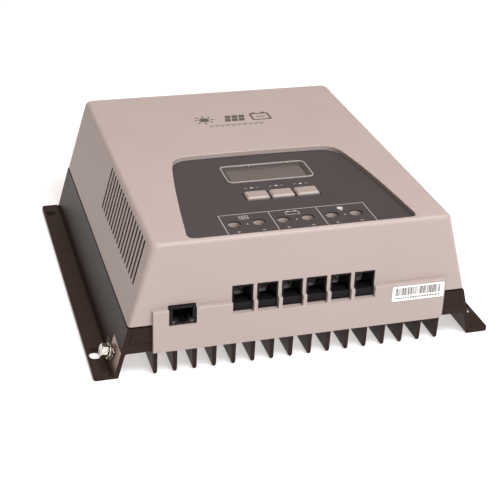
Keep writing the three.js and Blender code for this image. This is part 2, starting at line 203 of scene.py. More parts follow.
def anodisedAluminium():
    paint = Paint("blackAnodised", {"Metallic": 0.25, "Specular IOR Level": 0.16})
    lines = paint.noise(anodisedLook["drawLines"], 3, (1, 0.006, 1))  # drawn out along the extrusion
    clouds = paint.noise(24, 2, (1, 0.3, 1))
    speck = paint.noise(0.3, 1)
    colour = paint.blend(lines * 0.4 + clouds * 0.6, tint(*anodisedLook["dark"]),
                         tint(*anodisedLook["light"]))
    return paint.finish({
        "Base Color": colour,
        "Roughness": anodisedLook["rough"] - 0.08 + lines * 0.1 + clouds * 0.06,
        "Normal": paint.relief(lines * 0.8 + speck * 0.3, 0.02),
    })


def brushedMetal(name, dark, light, rough, stretch, size=0.4, depth=0.012):
    paint = Paint(name, {"Metallic": 1.0})
    strokes = paint.noise(size, 3, stretch)
    clouds = paint.noise(4, 2)
    colour = paint.blend(strokes * 0.6 + clouds * 0.4, tint(*dark), tint(*light))
    return paint.finish({
        "Base Color": colour,
        "Roughness": rough - 0.08 + strokes * 0.12 + clouds * 0.06,
        "Normal": paint.relief(strokes, depth),
    })


blackAnodised = anodisedAluminium()
bareAluminium = brushedMetal("bareAluminium", (168, 150, 140), (228, 210, 198), 0.5, (1, 0.25, 1), 0.7, 0.06)
platedSteel = brushedMetal("platedSteel", (190, 182, 172), (226, 220, 210), 0.24, (1, 1, 1))
cageZinc = brushedMetal("cageZinc", (222, 214, 204), (244, 238, 230), 0.6, (1, 1, 1))
tinnedCopper = brushedMetal("tinnedCopper", (178, 162, 144), (208, 196, 178), 0.34, (0.2, 1, 1))
goldContact = brushedMetal("goldContact", (196, 150, 70), (226, 184, 100), 0.28, (1, 1, 1))


def printInk(name, colour):
    paint = Paint(name, {"Specular IOR Level": 0.3})
    wear = paint.noise(0.8, 2)
    fainter = tuple(channel * 0.86 for channel in tint(*colour)[:3]) + (1.0,)
    return paint.finish({
        "Base Color": paint.blend(wear, fainter, tint(*colour)),
        "Roughness": 0.45 + wear * 0.1,
    })


lightInk = printInk("lightInk", (196, 186, 180))
darkInk = printInk("darkInk", (84, 77, 73))
barInk = printInk("barInk", (34, 31, 30))
markInk = printInk("markInk", (150, 136, 128))


def labelPaper():
    paint = Paint("labelPaper", {"Specular IOR Level": 0.35})
    fibres = paint.noise(0.5, 3, (0.3, 1, 1))
    return paint.finish({
        "Base Color": paint.blend(fibres, tint(238, 234, 229), tint(250, 247, 243)),
        "Roughness": 0.5 + fibres * 0.12,
        "Normal": paint.relief(fibres, 0.006),
    })


def circuitBoard():
    paint = Paint("circuitBoard", {"Specular IOR Level": 0.5})
    tracks = paint.ramp(paint.noise(5, 1, (1, 0.25, 1)), [(0.49, 0.0), (0.51, 1.0)])
    weave = paint.noise(0.5, 2)
    colour = paint.blend(tracks * 0.7 + weave * 0.2, tint(22, 66, 40), tint(46, 104, 62))
    return paint.finish({
        "Base Color": colour,
        "Roughness": 0.34 + weave * 0.12,
        "Normal": paint.relief(tracks, 0.03),
    })


def displayGlass():
    paint = Paint("displayGlass", {"Alpha": 0.16, "Roughness": 0.04, "Coat Weight": 0.3})
    smear = paint.noise(9, 2)
    return paint.finish({
        "Base Color": paint.blend(smear, tint(96, 92, 88), tint(116, 112, 108)),
    })


def liquidCrystal():
    paint = Paint("liquidCrystal", {"Specular IOR Level": 0.45})
    clouds = paint.noise(16, 2, (1, 2, 1))
    cells = paint.noise(0.5, 1)
    return paint.finish({
        "Base Color": paint.blend(clouds * 0.8 + cells * 0.2, tint(102, 89, 83), tint(118, 104, 97)),
        "Roughness": 0.3 + clouds * 0.08,
    })


def lacquered(name, dark, light, rough=0.35):
    paint = Paint(name, {"Coat Weight": 0.25})
    clouds = paint.noise(3, 3)
    return paint.finish({
        "Base Color": paint.blend(clouds, tint(*dark), tint(*light)),
        "Roughness": rough - 0.05 + clouds * 0.1,
        "Normal": paint.relief(clouds, 0.02),
    })


paperLabel = labelPaper()
greenBoard = circuitBoard()
windowGlass = displayGlass()
crystalFace = liquidCrystal()
ferriteCore = lacquered("ferriteCore", (118, 106, 48), (146, 132, 64))
sleeveBlue = lacquered("sleeveBlue", (28, 42, 66), (40, 58, 88), 0.28)
fuseOrange = lacquered("fuseOrange", (190, 92, 26), (216, 118, 40), 0.25)
ribbonGrey = lacquered("ribbonGrey", (128, 126, 124), (154, 152, 150), 0.5)
screenBlack = lacquered("screenBlack", (26, 25, 25), (38, 36, 36), 0.3)
lampResin = lacquered("lampResin", (66, 60, 54), (88, 80, 72), 0.3)
print("materials made")


# shape helpers, all in millimetres

def softLoop(corners, stepAngle=15):
    # corners are (a, b, radius): each turns into an arc of that radius
    loop = []
    count = len(corners)
    for i, (a, b, radius) in enumerate(corners):
        here = Vector((a, b))
        before = Vector(corners[i - 1][:2]) - here
        after = Vector(corners[(i + 1) % count][:2]) - here
        turn = math.pi - before.angle(after)
        reach = radius * math.tan(turn / 2)
        most = 0.49 * min(before.length, after.length)
        if radius <= 0 or turn < 0.02:
            loop.append(here)
            continue
        if reach > most:
            radius *= most / reach
            reach = most
        start = here + before.normalized() * reach
        end = here + after.normalized() * reach
        middle = here + (before.normalized() + after.normalized()).normalized() \
            * (radius / math.cos(turn / 2))
        steps = max(2, math.ceil(math.degrees(turn) / stepAngle))
        first = start - middle
        side = 1 if first.cross(end - middle) > 0 else -1
        for step in range(steps + 1):
            angle = side * turn * step / steps
            spun = Matrix.Rotation(angle, 2) @ first
            loop.append(middle + spun)
    return loop


def roundedRect(x0, x1, y0, y1, radius, stepAngle=15):
    corners = [(x0, y0), (x1, y0), (x1, y1), (x0, y1)]
    return softLoop([(x, y, radius) for x, y in corners], stepAngle)


def rectAround(x, y, halfX, halfY, radius, stepAngle=15):
    return roundedRect(x - halfX, x + halfX, y - halfY, y + halfY, radius, stepAngle)


def circle(radius, sides=32, x=0, y=0, start=0.0):
    angles = [start + 2 * math.pi * i / sides for i in range(sides)]
    return [Vector((x + radius * math.cos(a), y + radius * math.sin(a))) for a in angles]


def newPiece(name, bm, material):
    bmesh.ops.remove_doubles(bm, verts=bm.verts, dist=0.002 * mm)
    bmesh.ops.recalc_face_normals(bm, faces=bm.faces)
    mesh = bpy.data.meshes.new(name)
    bm.to_mesh(mesh)
    bm.free()
    piece = bpy.data.objects.new(name, mesh)
    scene.collection.objects.link(piece)
    mesh.materials.append(material)
    return piece


def addRings(bm, rings, closed=False):
    # a tube through rings of the same number of points, either capped at both ends or closed on itself
    made = [[bm.verts.new(Vector(point) * mm) for point in ring] for ring in rings]
    count = len(rings[0])
    following = made[1:] + made[:1] if closed else made[1:]
    for lower, upper in zip(made, following):
        for i in range(count):
            j = (i + 1) % count
            bm.faces.new((lower[i], lower[j], upper[j], upper[i]))
    if not closed:
        bm.faces.new(list(reversed(made[0])))
        bm.faces.new(made[-1])


def loft(name, rings, material, closed=False):
    bm = bmesh.new()
    addRings(bm, rings, closed)
    return newPiece(name, bm, material)


def lifted(loop, z):
    return [(point[0], point[1], z) for point in loop]


def prismZ(name, loop, z0, z1, material):
    return loft(name, [lifted(loop, z0), lifted(loop, z1)], material)


def prismY(name, loop, y0, y1, material):
    return loft(name, [[(a, y, b) for a, b in loop] for y in (y1, y0)], material)


def prismX(name, loop, x0, x1, material):
    return loft(name, [[(x, a, b) for a, b in loop] for x in (x0, x1)], material)


def lathe(name, profile, material, sides=32, place=None):
    # profile is (radius, height) from the bottom up; both ends are capped
    rings = [lifted(circle(radius, sides), height) for radius, height in profile]
    piece = loft(name, rings, material)
    if place is not None:
        piece.data.transform(place)
    return piece


def shifted(x, y, z):
    return Matrix.Translation(Vector((x, y, z)) * mm)


def cooked(piece):
    # applies the modifiers for good
    graph = bpy.context.evaluated_depsgraph_get()
    graph.update()
    mesh = bpy.data.meshes.new_from_object(piece.evaluated_get(graph))
    piece.modifiers.clear()
    old = piece.data
    piece.data = mesh
    mesh.name = old.name
    bpy.data.meshes.remove(old)
    return piece


def merged(pieces):
    # one object from several, keeping the first one's name
    bm = bmesh.new()
    for piece in pieces:
        bm.from_mesh(piece.data)
    keep = pieces[0]
    bm.to_mesh(keep.data)
    bm.free()
    for piece in pieces[1:]:
        bpy.data.objects.remove(piece)
    return keep


def combine(piece, tools, operation="DIFFERENCE"):
    for tool in tools:
        modifier = piece.modifiers.new("combine", "BOOLEAN")
        modifier.operation = operation
        modifier.solver = "MANIFOLD"
        modifier.object = tool
        cooked(piece)
        bpy.data.objects.remove(tool)
    return piece


def smoothSkin(piece, angle=34, bevel=0.0, segments=2, bevelAngle=40):
    if bevel:
        modifier = piece.modifiers.new("bevel", "BEVEL")
        modifier.width = bevel * mm
        modifier.segments = segments
        modifier.limit_method = "ANGLE"
        modifier.angle_limit = math.radians(bevelAngle)
        cooked(piece)
    mesh = piece.data
    mesh.shade_smooth()
    mesh.set_sharp_from_angle(angle=math.radians(angle))
    weighted = piece.modifiers.new("weighted", "WEIGHTED_NORMAL")
    weighted.keep_sharp = True
    weighted.weight = 90
    return piece


def present(piece, body, replaced=()):
    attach(piece, body)
    if replaced:
        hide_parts(*replaced)
    return piece


def dress(node, material, bevel):
    # a CAD node that keeps its shape gets its finish and softened edges
    piece = nodes[node]
    piece.data.materials.clear()
    piece.data.materials.append(material)
    modifier = piece.modifiers.new("edges", "BEVEL")
    modifier.width = bevel * mm
    modifier.segments = 2
    modifier.limit_method = "ANGLE"
    modifier.angle_limit = math.radians(40)


# camera, light and floor

cameraLook = {
    "place": (-210.8, -680.3, 393.0),
    "azimuth": -17.315,
    "elevation": 28.078,
    "roll": 2.381,
    "lens": 84.3,
}


def makeCamera():
    azimuth = math.radians(cameraLook["azimuth"])
    elevation = math.radians(cameraLook["elevation"])
    roll = math.radians(cameraLook["roll"])
    back = Vector((math.sin(azimuth) * math.cos(elevation),
                   -math.cos(azimuth) * math.cos(elevation), math.sin(elevation)))
    right = Vector((math.cos(azimuth), math.sin(azimuth), 0))
    up = back.cross(right)
    rolledRight = right * math.cos(roll) + up * math.sin(roll)
    rolledUp = up * math.cos(roll) - right * math.sin(roll)
    turned = Matrix((rolledRight, rolledUp, back)).transposed().to_4x4()
    data = bpy.data.cameras.new("camera")
    data.sensor_width = 36
    data.lens = cameraLook["lens"]
    data.clip_start = 0.01
    data.clip_end = 20
    camera = bpy.data.objects.new("camera", data)
    camera.matrix_world = shifted(*cameraLook["place"]) @ turned
    scene.collection.objects.link(camera)
    scene.camera = camera


lightLook = {
    "key": {"place": (0.28, -0.74, 1.34), "size": 0.7, "watts": 24, "colour": (0.95, 0.99, 1.03)},
    "front": {"place": (0.14, -1.5, 0.72), "size": 0.3, "watts": 7, "colour": (0.95, 0.99, 1.03)},
    "back": {"place": (0.1, 1.0, 1.6), "size": 1.2, "watts": 10, "colour": (1.0, 0.96, 0.93)},
}
skyLook = {"colour": (1.0, 0.83, 0.73, 1.0), "strength": 0.32}


def makeLights():
    for name, look in lightLook.items():
        data = bpy.data.lights.new(name, "AREA")
        data.shape = "DISK"
        data.size = look["size"]
        data.energy = look["watts"]
        data.color = look["colour"]
        lamp = bpy.data.objects.new(name, data)
        lamp.location = look["place"]
        lamp.rotation_euler = Vector(look["place"]).to_track_quat("Z", "Y").to_euler()
        scene.collection.objects.link(lamp)
    world = bpy.data.worlds.new("studio")
    world.use_nodes = True
    background = world.node_tree.nodes["Background"]
    background.inputs["Color"].default_value = skyLook["colour"]
    background.inputs["Strength"].default_value = skyLook["strength"]
    scene.world = world
    scene.view_settings.view_transform = "Standard"


def makeFloor():
    paint = Paint("paleFloor", {"Roughness": 0.9, "Specular IOR Level": 0.1, "Emission Strength": 0.56,
                                "Emission Color": (1.0, 0.94, 0.92, 1.0)})
    cloud = paint.noise(300, 1)
    material = paint.finish({"Base Color": paint.blend(cloud, tint(186, 187, 188), tint(190, 191, 192))})
    floor = prismZ("floor", roundedRect(-3000, 3000, -3000, 3000, 400), -12, -0.05, material)


makeCamera()
makeLights()
makeFloor()
print("camera, lights and floor set")


# heatsink

heatsinkDims = {
    "plateUnderside": 16.0, "plateTop": 22.0, "wall": 3.15, "slope": 0.2746, "foot": 115.2,
    "flange": 3.6, "finPitch": 12.0, "fins": 16, "finRoot": 1.5, "finTip": 1.25, "finGap": 0.3,
    "slotX": 121.9, "frontSlotY": -90.3, "rearHoleY": 103.0, "frontSlot": (7.0, 12.0), "rearHole": 3.5,
    "screwX": 97.0, "screwY": 100.0, "screwHole": 2.1, "planCorner": 2.0,
    "patchLength": 21.9, "patchLow": 1.0, "patchHigh": 17.6, "patchDepth": 0.25,
    "boltY": -100.0, "boltZ": 9.7, "boltHole": 2.7,
}
low, high = span("heatsink")
frontFace, backFace, seamZ, flangeX = low.y, high.y, high.z, high.x


def wallX(z):
    return heatsinkDims["foot"] - heatsinkDims["slope"] * z


def heatsinkLoop():
    dims = heatsinkDims

    def inner(z):
        return wallX(z) - dims["wall"]
    foot = wallX(dims["flange"] - 0.5)  # a shallow groove runs along the wall's foot
    half = [
        (inner(dims["plateTop"]), dims["plateTop"], 1.0),
        (inner(seamZ), seamZ, 0.3),
        (wallX(seamZ), seamZ, 0.7),
        (foot, dims["flange"] - 0.5, 0.2),
        (foot + 0.7, dims["flange"] - 0.5, 0.2),
        (foot + 1.2, dims["flange"], 0.15),
        (flangeX, dims["flange"], 1.5),
        (flangeX, 0.0, 1.3),
        (inner(0), 0.0, 0.5),
        (inner(dims["plateUnderside"]), dims["plateUnderside"], 1.6),
    ]
    for i in reversed(range(dims["fins"] // 2)):
        x = (i + 0.5) * dims["finPitch"]
        tip = dims["finTip"]
        half += [
            (x + dims["finRoot"], dims["plateUnderside"], 1.0),
            (x + tip, dims["finGap"], tip * 0.98),
            (x - tip, dims["finGap"], tip * 0.98),
            (x - dims["finRoot"], dims["plateUnderside"], 1.0),
        ]
    mirrored = [(-x, z, radius) for x, z, radius in reversed(half)]
    return softLoop(half + mirrored, 18)


def onLeftWall(y, z):
    # a frame whose Z points straight out of the left wall
    tilt = math.atan(heatsinkDims["slope"])
    return shifted(-wallX(z), y, z) @ Matrix.Rotation(-math.pi / 2 + tilt, 4, "Y")


def patchSpan():
    # how far up the wall the milled pocket starts and ends
    slant = math.hypot(1, heatsinkDims["slope"])
    return heatsinkDims["patchLow"] * slant, heatsinkDims["patchHigh"] * slant


def makeHeatsink():
    dims = heatsinkDims
    sink = prismY("heatsinkBody", heatsinkLoop(), frontFace, backFace, blackAnodised)
    tools = []
    for side in (-1, 1):
        x = side * dims["slotX"]
        halfX, halfY = (value / 2 for value in dims["frontSlot"])
        slotLoop = rectAround(x, dims["frontSlotY"], halfX, halfY, halfX - 0.05)
        tools.append(prismZ("tool", slotLoop, -1, 6, blackAnodised))
        tools.append(prismZ("tool", circle(dims["rearHole"], 28, x, dims["rearHoleY"]), -1, 6, blackAnodised))
        for end in (-1, 1):
            hole = circle(dims["screwHole"], 20, side * dims["screwX"], end * dims["screwY"])
            tools.append(prismZ("tool", hole, dims["plateUnderside"] - 1, dims["plateTop"] + 1,
                                blackAnodised))
    wall = onLeftWall(dims["boltY"], dims["boltZ"])
    tools.append(lathe("tool", [(dims["boltHole"], -8), (dims["boltHole"], 3)], blackAnodised, 24, wall))
    low, high = patchSpan()
    patchLoop = [(low, -2), (high, -2), (high, dims["patchLength"]), (low, dims["patchLength"])]
    patch = prismZ("tool", patchLoop, -dims["patchDepth"], 3, blackAnodised)
    patch.data.transform(onLeftWall(frontFace, 0))
    combine(sink, tools + [patch])
    for corner in ((-1, -1), (1, -1), (-1, 1), (1, 1)):
        combine(sink, [cornerTool(*corner)])
    paintPatch(sink)
    smoothSkin(sink, 30, 0.22, 2, 50)
    return present(sink, "case", ["heatsink"])


def cornerTool(sideX, sideY):
    # what is taken off a flange's corner, seen from above
    radius = heatsinkDims["planCorner"]
    y = frontFace if sideY < 0 else backFace
    centreX, centreY = sideX * (flangeX - radius), y - sideY * radius
    loop = [Vector((sideX * (flangeX + 1), centreY)), Vector((sideX * (flangeX + 1), y + sideY)),
            Vector((centreX, y + sideY))]
    for step in range(9):
        angle = math.pi / 2 * step / 8
        loop.append(Vector((centreX + sideX * radius * math.sin(angle),
                            centreY + sideY * radius * math.cos(angle))))
    return prismZ("tool", loop, -1, 6, blackAnodised)


def paintPatch(sink):
    # the milled pocket under the bolt shows bare metal
    dims = heatsinkDims
    sink.data.materials.append(bareAluminium)
    low, high = patchSpan()
    toPocket = onLeftWall(frontFace, 0).inverted()
    outward = toPocket.inverted().to_3x3() @ Vector((0, 0, 1))
    slack = 0.02
    for face in sink.data.polygons:
        middle = (toPocket @ face.center) / mm
        inHeight = low - slack < middle.x < high + slack
        inLength = 0 < middle.y < dims["patchLength"] + slack
        onFloor = -dims["patchDepth"] - 0.05 < middle.z < 0.1 and face.normal.dot(outward) > 0.9
        if inHeight and inLength and onFloor:
            face.material_index = 1


makeHeatsink()
dress("front_end_plate", blackAnodised, 0.12)
dress("rear_end_plate", blackAnodised, 0.12)
print("heatsink made")


# hood

hoodDims = {
    "wall": 2.6, "topHalf": 91.9, "draft": 1.0, "edge": 2.6, "frontCorner": 4.5, "backCorner": 5.0,
    "seamCorner": 2.2, "seamChamfer": 0.8, "recessDepth": 3.1, "trayFloor": 81.5,
    "trayUnderside": 79.1, "lip": 0.7,
    "apronHalf": 91.6, "apronBottom": 15.85, "apronTop": 43.6,
    "entryBottom": 36.75, "entryTop": 54.0, "entryWidth": 13.0,
    "jack": (-82.3, -65.7, 33.2, 45.7), "labelPocket": (56.2, 91.3, 31.4, 42.4, 0.4),
    "vents": 17, "ventPitch": 6.38, "ventFront": -100.6, "ventWidth": 3.0, "ventBottom": 54.7,
    "ventTop": 82.5, "ventReach": (84, 110), "keyGap": 0.5, "displayHole": (27.0, 10.8),
    "wellBottom": 69.8, "wellY": -92.15, "wellTop": 4.0, "wellFoot": 3.6, "wellOuter": 5.2,
}
coverLow, coverHigh = span("top_cover")
roofZ = coverHigh.z - 0.05
apronFace = coverLow.y
hoodBottom = seamZ + 0.3
faceLevel = roofZ - hoodDims["recessDepth"]
poleXs = [middleOf(*span(f"terminal_screw_{number}"))[0] for number in range(1, 7)]
keyNames = ("left", "middle", "right")
keyBoxes = [span("button_" + key) for key in keyNames]
keyRow = (keyBoxes[0][0], keyBoxes[2][1])
frameLow, frameHigh = span("display_frame")
displayX, displayY = middleOf(frameLow, frameHigh)
displayHalfX, displayHalfY = frameHigh.x - displayX, frameHigh.y - displayY


def hoodRing(z, inset, pulledIn, corners):
    # one level of the hood's outline; corners are the front and the back radius
    rise = (z - seamZ) / (roofZ - seamZ)
    x = wallX(seamZ) + (hoodDims["topHalf"] - wallX(seamZ)) * rise - inset - pulledIn
    lean = hoodDims["draft"] * rise + inset + pulledIn
    front = frontFace + lean
    back = backFace - lean
    radii = [max(0.8, corner - inset * 0.6 - pulledIn * 0.85) for corner in corners]
    frontRadius, backRadius = radii
    loop = softLoop([(-x, front, frontRadius), (x, front, frontRadius),
                     (x, back, backRadius), (-x, back, backRadius)], 10)
    return lifted(loop, z)


def hoodLoft(name, bottom, inset):
    dims = hoodDims
    rings = []
    seam = dims["seamCorner"]
    levels = [(bottom, 0.0)]
    if inset == 0:
        levels = [(bottom, dims["seamChamfer"]), (bottom + dims["seamChamfer"], 0.0)]
    roof = roofZ - inset
    for step in range(7):
        angle = math.radians(90) * step / 6
        levels.append((roof - dims["edge"] * (1 - math.sin(angle)), dims["edge"] * (1 - math.cos(angle))))
    for z, pulledIn in levels:
        rise = (z - seamZ) / (roofZ - seamZ)
        corners = (seam + (dims["frontCorner"] - seam) * rise, seam + (dims["backCorner"] - seam) * rise)
        rings.append(hoodRing(z, inset, pulledIn, corners))
    return loft(name, rings, hoodPlastic)


def recessLoop(grow):
    # the recess narrows to the back, with slightly bowed sides and back
    front = frontFace + 4.65 - grow
    back = 4.35 + grow
    knee = -8.6 + grow / 2
    bends = [  # control point, end point, steps
        ((71.3 + grow, front), (71.0 + grow, front + 6), 8),
        ((66.4 + grow, -36), (59.9 + grow, knee), 18),
        ((57.1 + grow, back - 0.4), (44.5 + grow, back - 0.7), 12),
        ((1, back + 0.7), (-41 - grow, back - 0.7), 16),
        ((-53.5 - grow, back - 0.4), (-55.9 - grow, knee), 12),
        ((-62 - grow, -36), (-69.4 - grow, front + 6), 18),
        ((-69.7 - grow, front), (-64.4 - grow, front), 8),
    ]
    points = [Vector((66.0 + grow, front))]
    for control, end, steps in bends:
        points += curve(points[-1], control, end, steps)
    return points


def keyRowHole(gap, halfY, radius):
    # one opening for the whole row of keys
    x, y = middleOf(*keyRow)
    return rectAround(x, y, keyRow[1].x - x + gap, halfY, radius)


def curve(start, control, end, steps):
    start, control, end = Vector(start), Vector(control), Vector(end)
    points = []
    for step in range(1, steps + 1):
        t = step / steps
        points.append(start * (1 - t) ** 2 + control * 2 * t * (1 - t) + end * t ** 2)
    return points


def flared(name, loopAt, bottom, top, lip, material, steps=5):
    # a cutter that opens out in a quarter round of radius lip at its top
    rings = [lifted(loopAt(0), bottom)]
    for step in range(steps + 1):
        angle = math.radians(90) * step / steps
        rings.append(lifted(loopAt(lip * (1 - math.cos(angle))), top - lip * (1 - math.sin(angle))))
    rings.append(lifted(loopAt(lip), top + 4))
    return loft(name, rings, material)


def apron():
    dims = hoodDims
    wallY = frontFace + 2.2
    profile = [(apronFace, dims["apronBottom"], 0.7), (apronFace, dims["apronTop"], 0.6),
               (wallY, dims["apronTop"] + 0.4, 0), (wallY, hoodBottom, 0),
               (frontFace - 0.3, hoodBottom, 0.2), (frontFace - 0.3, dims["apronBottom"], 0.3)]
    return prismX("apron", softLoop(profile, 18), -dims["apronHalf"], dims["apronHalf"], hoodPlastic)


def makeHood():
    dims = hoodDims
    hood = hoodLoft("hoodShell", hoodBottom, 0)
    cavity = hoodLoft("cavity", hoodBottom - 5, dims["wall"])
    tray = prismZ("tray", recessLoop(2.6), dims["trayUnderside"], roofZ + 1, hoodPlastic)
    tubes = [prismZ("tube", circle(dims["wellOuter"], 32, x, dims["wellY"]), dims["wellBottom"],
                    dims["trayUnderside"] + 0.5, hoodPlastic) for x in poleXs]
    combine(cavity, [tray] + tubes)
    combine(hood, [cavity])
    combine(hood, [apron()], "UNION")
    tools = [flared("pocket", recessLoop, dims["trayFloor"], roofZ, dims["lip"], hoodPlastic)]
    jackLeft, jackRight, jackBottom, jackTop = dims["jack"]
    jackLoop = roundedRect(jackLeft, jackRight, jackBottom, jackTop, 0.5, 30)
    tools.append(prismY("tool", jackLoop, apronFace - 2, frontFace + 6, hoodPlastic))
    left, right, foot, top, depth = dims["labelPocket"]
    labelLoop = roundedRect(left, right, foot, top, 0.4, 30)
    tools.append(prismY("tool", labelLoop, apronFace - 1, apronFace + depth, hoodPlastic))
    for hole in (rectAround(displayX, displayY, *dims["displayHole"], 1),
                 keyRowHole(dims["keyGap"], 5.3, 0.8)):
        tools.append(prismZ("tool", hole, 70, 90, hoodPlastic))
    for x in poleXs:
        half = dims["entryWidth"] / 2
        entry = roundedRect(x - half, x + half, dims["entryBottom"], dims["entryTop"], 0.45, 30)
        tools.append(prismY("tool", entry, apronFace - 2, frontFace + 6, hoodPlastic))
        well = [lifted(circle(dims["wellFoot"], 32, x, dims["wellY"]), dims["wellBottom"] - 1),
                lifted(circle(dims["wellTop"], 32, x, dims["wellY"]), dims["trayFloor"] + 1)]
        tools.append(loft("tool", well, hoodPlastic))
    combine(hood, tools)
    vents = []
    for i in range(dims["vents"]):
        y = dims["ventFront"] + i * dims["ventPitch"]
        half = dims["ventWidth"] / 2
        loop = roundedRect(y - half, y + half, dims["ventBottom"], dims["ventTop"], half * 0.6, 30)
        for side in (-1, 1):
            ends = sorted(side * x for x in dims["ventReach"])
            vents.append(prismX("vent", loop, *ends, hoodPlastic))
    combine(hood, [merged(vents)])
    shadeVents(hood)
    smoothSkin(hood, 32)
    return present(hood, "case", ["top_cover"])


def shadeVents(hood):
    # painted shade: the slot walls are the same plastic as the outside, but get this darker, matt copy to
    # stand in for the shade deep inside the slots
    dims = hoodDims
    hood.data.materials.append(slotShadePlastic)
    first, last = dims["ventFront"] - 3, dims["ventFront"] + dims["vents"] * dims["ventPitch"]
    for face in hood.data.polygons:
        middle = face.center / mm
        inRow = first < middle.y < last and dims["ventBottom"] - 0.1 < middle.z < dims["ventTop"] + 0.1
        if inRow and abs(middle.x) > 86 and abs(face.normal.x) < 0.5:
            face.material_index = 1


makeHood()
print("hood made")


# faceplate, display and keys

faceplateLook = {"fit": 0.15, "lift": 0.3, "windowCorner": 4.1, "keyGap": 0.6, "keyHalfY": 5.5,
                 "wellHole": 4.05}


def makeFaceplate():
    look = faceplateLook
    fit = look["fit"]
    plate = prismZ("faceplateFilm", recessLoop(-fit), hoodDims["trayFloor"] + look["lift"], faceLevel,
                   overlayFilm)
    holes = [rectAround(displayX, displayY, displayHalfX + fit, displayHalfY + fit, look["windowCorner"], 10),
             keyRowHole(look["keyGap"], look["keyHalfY"], 1.0)]
    holes += [circle(look["wellHole"], 36, x, hoodDims["wellY"]) for x in poleXs]
    combine(plate, [prismZ("tool", hole, 80, 90, overlayFilm) for hole in holes])
    smoothSkin(plate, 30, 0.12, 2)
    present(plate, "case", ["faceplate"])


displayLook = {
    "border": 1.1, "borderCorner": 4.0, "innerCorner": 3.0, "fit": 0.1, "paneCorner": 2.9,
    "rim": (3.2, 3.0), "paneDepth": (0.7, 0.4), "maskDepth": (1.2, 0.85),
    "bodyHeight": 5.4, "face": (26.6, 10.4), "faceLift": 5.6,
}


def makeDisplay():
    look = displayLook

    def ring(inset, radius):
        return rectAround(displayX, displayY, displayHalfX - inset, displayHalfY - inset, radius, 10)
    border = prismZ("displayBezel", ring(0, look["borderCorner"]), frameLow.z, frameHigh.z, bezelPlastic)
    opening = ring(look["border"], look["innerCorner"])
    combine(border, [prismZ("tool", opening, frameLow.z - 1, frameHigh.z + 1, bezelPlastic)])
    smoothSkin(border, 30, 0.35, 3)
    present(border, "case", ["display_frame"])
    paneLoop = ring(look["border"] + look["fit"], look["paneCorner"])
    low, high = (frameHigh.z - depth for depth in look["paneDepth"])
    pane = prismZ("displayPane", paneLoop, low, high, windowGlass)
    smoothSkin(pane, 30, 0.08, 1)
    present(pane, "case", ["display_window"])
    low, high = (frameHigh.z - depth for depth in look["maskDepth"])
    mask = prismZ("displayMask", paneLoop, low, high, screenBlack)
    rimX, rimY = look["rim"]
    opening = rectAround(displayX, displayY, displayHalfX - rimX, displayHalfY - rimY, 0.6)
    combine(mask, [prismZ("tool", opening, frameLow.z - 1, frameHigh.z + 1, screenBlack)])
    smoothSkin(mask, 30)
    present(mask, "case")
    lcdLow, lcdHigh = span("lcd_module")
    body = prismZ("displayModule", roundedRect(lcdLow.x, lcdHigh.x, lcdLow.y, lcdHigh.y, 0.6),
                  lcdLow.z, lcdLow.z + look["bodyHeight"], screenBlack)
    smoothSkin(body, 30, 0.3, 2)
    present(body, "case", ["lcd_module"])
    faceLoop = rectAround(*middleOf(lcdLow, lcdHigh), *look["face"], 0.5)
    face = prismZ("displayFace", faceLoop, lcdLow.z + look["faceLift"], lcdHigh.z - 0.3, crystalFace)
    smoothSkin(face, 30, 0.3, 2)
    present(face, "case")


keyLook = {"halfY": 4.9, "chamfer": 1.1, "corner": 0.9, "lip": (1.7, 3.1), "pusher": 1.6}


def makeKey(key, low, high):
    x, y = middleOf(low, high)
    halfX, halfY = high.x - x, keyLook["halfY"]
    chamfer = keyLook["chamfer"]
    top = high.z

    def ring(z, inset, radius=keyLook["corner"]):
        return lifted(rectAround(x, y, halfX - inset, halfY - inset, radius), z)
    rings = [ring(top - 5.6, 0.0), ring(top - 1.25, 0.0), ring(top - 1.0, 0.06), ring(top - 0.85, 0.2),
             ring(top - 0.2, chamfer - 0.2), ring(top - 0.06, chamfer), ring(top, chamfer + 0.25, 0.8)]
    cap = loft("key_" + key, rings, keyPlastic)
    lipFoot, lipTop = (low.z + height for height in keyLook["lip"])
    lip = prismZ("lip", roundedRect(low.x, high.x, low.y, high.y, 0.3, 30), lipFoot, lipTop, keyPlastic)
    pusher = prismZ("pusher", circle(keyLook["pusher"], 20, x, y), low.z, lipFoot + 0.2, keyPlastic)
    combine(cap, [lip, pusher], "UNION")
    smoothSkin(cap, 24)
    present(cap, key + "_button", ["button_" + key])


makeFaceplate()
makeDisplay()
for keyName, (keyLow, keyHigh) in zip(keyNames, keyBoxes):
    makeKey(keyName, keyLow, keyHigh)
    dress("button_switch_" + keyName, blackPlastic, 0.2)
dress("display_board", greenBoard, 0.15)
print("faceplate, display and keys made")


# wiring terminals and network socket

screwLook = {"head": 3.5, "headHeight": 4.0, "slot": 1.0, "slotDepth": 1.6, "shank": 3.0, "thread": 1.0}


